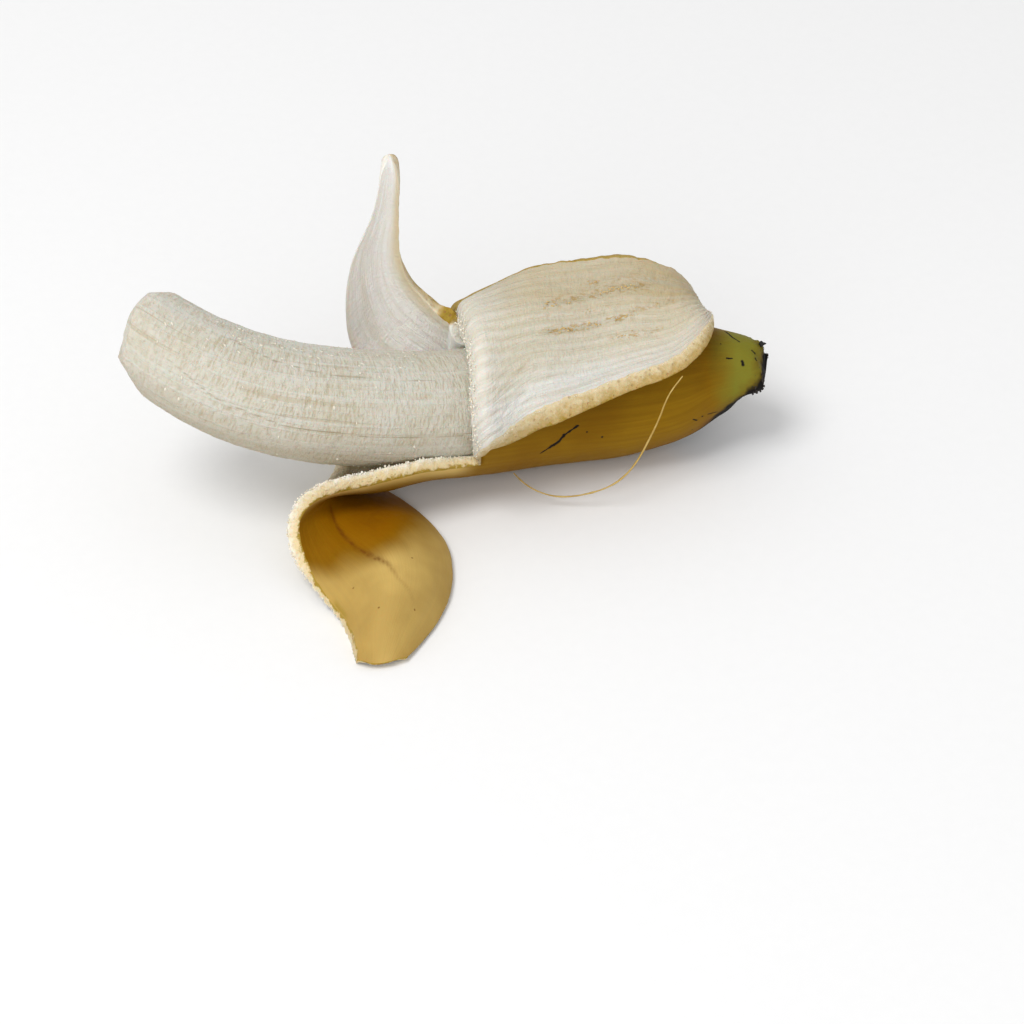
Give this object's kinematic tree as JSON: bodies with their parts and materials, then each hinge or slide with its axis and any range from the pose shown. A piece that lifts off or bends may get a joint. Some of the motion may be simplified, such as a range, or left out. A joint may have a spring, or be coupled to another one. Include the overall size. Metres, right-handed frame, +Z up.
{
  "type": "half-peeled banana",
  "caption": "Fresh banana lying on its belly, its peel torn into strips: one folded back over the skin, one standing, one curled over, with the bare flesh raised.",
  "frame": {"origin": "on the surface that it rests on, under the middle of the object's box", "axes": "+X towards the blossom end, -X towards the bare flesh, -Y towards the curled strip, +Z up"},
  "size_m": [0.16, 0.1168, 0.0819],
  "materials": {
    "banana_skin": "smooth waxy yellow skin, green at the blossom end, cream and fibrous inside",
    "banana_flesh": "moist matte cream flesh with fine cross striations",
    "strand_fibre": "dull golden plant fibre"
  },
  "bodies": {
    "root": {"peel": "banana_skin", "flesh": "banana_flesh", "phloem_strand": "strand_fibre"}
  },
  "joints": []
}
